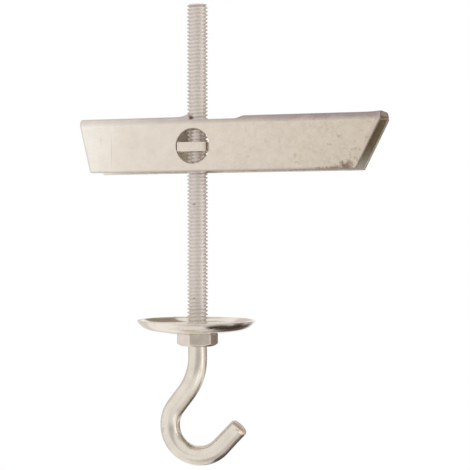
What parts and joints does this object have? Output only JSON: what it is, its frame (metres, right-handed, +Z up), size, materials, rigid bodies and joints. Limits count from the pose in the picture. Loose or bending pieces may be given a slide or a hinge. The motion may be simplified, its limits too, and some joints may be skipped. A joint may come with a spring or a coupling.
{
  "type": "toggle anchor",
  "caption": "Gravity toggle ceiling anchor: threaded rod ending in an open hook, with locknut and cup washer below and a folded slotted swing bar tipping on a cross nut above.",
  "frame": {"origin": "on the rod's axis, in the plane where the cup washer's rim meets the underside of the ceiling", "axes": "+Z up along the rod to its tip, +X along the swing bar's long arm, +Y across the bar"},
  "size_m": [0.0591, 0.0226, 0.0876],
  "materials": {
    "plated_rod": "bright plated, rolled thread",
    "plated_cup": "bright plated, pressed and polished by the die",
    "plated_nut": "bright plated, cold formed",
    "plated_plate": "bright plated, stamped",
    "plated_sheet": "satin plated sheet with light stains and rust specks"
  },
  "bodies": {
    "hook": {"hook_rod": "plated_rod"},
    "cross_nut": {"cross_nut": "plated_plate"},
    "bar": {"swing_bar": "plated_sheet"},
    "washer": {"cup_washer": "plated_cup"},
    "nut": {"locknut": "plated_nut"}
  },
  "joints": [
    {"name": "toggle_travel", "type": "slide", "parent": "hook", "child": "cross_nut", "axis": [0, 0, 1], "range_m": [-0.0026, 0.0245]},
    {"name": "toggle_pivot", "type": "hinge", "parent": "cross_nut", "child": "bar", "pos_m": [0.0003, 0, 0.0328], "axis": [0, -1, 0], "range_deg": [0, 52.5]},
    {"name": "washer_lift", "type": "slide", "parent": "hook", "child": "washer", "axis": [0, 0, 1], "range_m": [0, 0.0105]},
    {"name": "nut_turn", "type": "hinge", "parent": "washer", "child": "nut", "pos_m": [0, 0, -0.0034], "axis": [0, 0, 1], "range_deg": [0, 5400]}
  ],
  "couplings": [
    {"joint": "nut_turn", "follows": "washer_lift", "rad_per_m": 8976}
  ]
}
